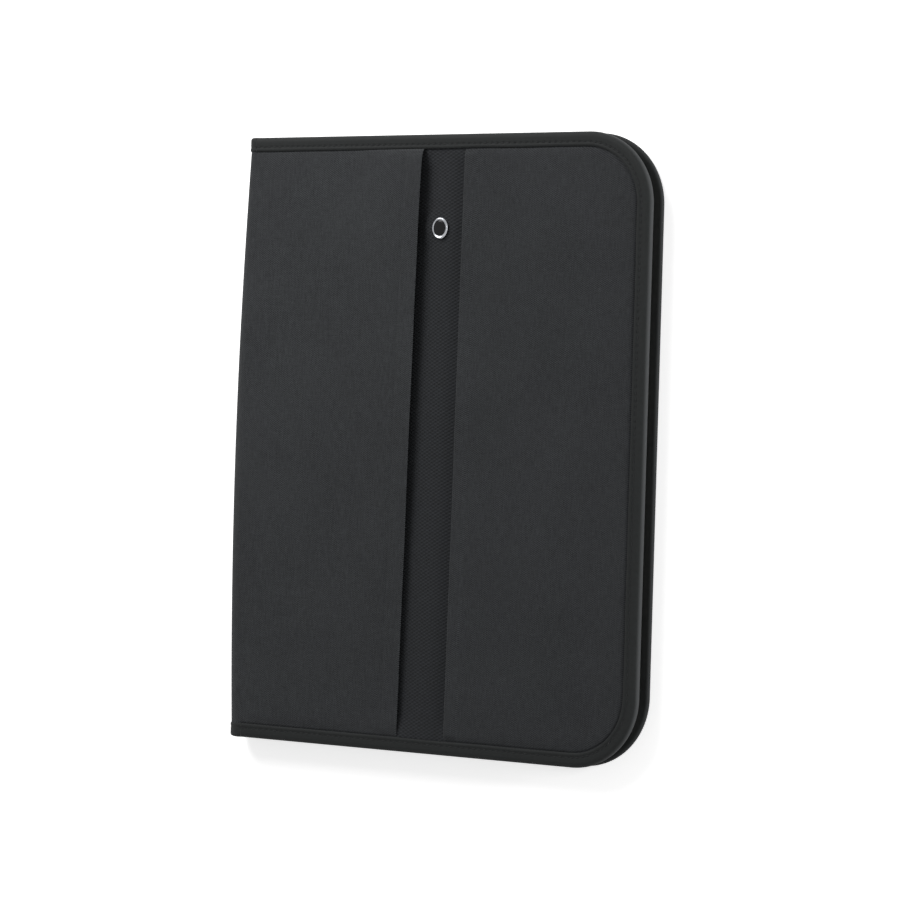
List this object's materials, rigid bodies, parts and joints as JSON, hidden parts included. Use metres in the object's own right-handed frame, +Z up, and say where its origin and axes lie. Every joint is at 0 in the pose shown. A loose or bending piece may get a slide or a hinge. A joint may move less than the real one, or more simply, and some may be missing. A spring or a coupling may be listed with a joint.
{
  "type": "padfolio",
  "caption": "Soft padfolio with two cloth-covered covers on a soft spine, a front slip pocket, inner pockets, a pen loop and a writing pad.",
  "frame": {"origin": "centre of the closed padfolio's footprint, on the surface that it lies on", "axes": "+Z up out of the front cover, +Y towards the head of the page, -X towards the spine"},
  "size_m": [0.2486, 0.32, 0.019],
  "materials": {
    "panel_cloth": "fine charcoal plain-weave nylon, matt",
    "strip_cloth": "coarse charcoal basket-weave nylon, matt",
    "tape_cloth": "charcoal folded woven tape, slight sheen",
    "lining_cloth": "smooth black polyester lining",
    "foam": "thin grey foam",
    "greyboard": "uncoated grey paperboard",
    "black_plastic": "black polypropylene sheet",
    "elastic": "black ribbed elastic",
    "chrome": "polished plated zinc",
    "enamel": "gloss black enamel",
    "paper": "uncoated writing paper",
    "pad_tape": "paper binding tape"
  },
  "bodies": {
    "back_cover": {"back_outer_fabric": "panel_cloth", "back_padding": "foam", "back_board": "greyboard", "back_lining": "lining_cloth", "back_binding_tape": "tape_cloth", "pad_slot_panel": "lining_cloth", "pen_loop": "elastic"},
    "spine": {"spine_outer_fabric": "panel_cloth", "spine_stiffener": "black_plastic", "spine_lining": "lining_cloth", "spine_head_tape": "tape_cloth", "spine_tail_tape": "tape_cloth"},
    "front_cover": {"front_pocket_panel": "panel_cloth", "front_right_panel": "panel_cloth", "front_centre_cloth": "strip_cloth", "front_padding": "foam", "front_board": "greyboard", "front_lining": "lining_cloth", "front_binding_tape": "tape_cloth", "document_pocket": "lining_cloth", "card_pocket_back": "lining_cloth", "card_pocket_middle": "lining_cloth", "card_pocket_front": "lining_cloth", "badge_rim": "chrome", "badge_insert": "enamel", "badge_washer": "chrome"},
    "notepad": {"pad_backing_card": "greyboard", "pad_sheets": "paper", "pad_top_sheet": "paper", "pad_head_tape": "pad_tape"}
  },
  "joints": [
    {"name": "spine_fold", "type": "hinge", "parent": "back_cover", "child": "spine", "pos_m": [-0.1176, 0, 0.0012], "axis": [0, -1, 0], "range_deg": [0, 90]},
    {"name": "cover_fold", "type": "hinge", "parent": "spine", "child": "front_cover", "pos_m": [-0.1176, 0, 0.0148], "axis": [0, -1, 0], "range_deg": [0, 90]},
    {"name": "notepad_slide", "type": "slide", "parent": "back_cover", "child": "notepad", "axis": [0, 1, 0], "range_m": [0, 0.15]}
  ],
  "couplings": [
    {"joint": "cover_fold", "follows": "spine_fold", "ratio": 1}
  ]
}
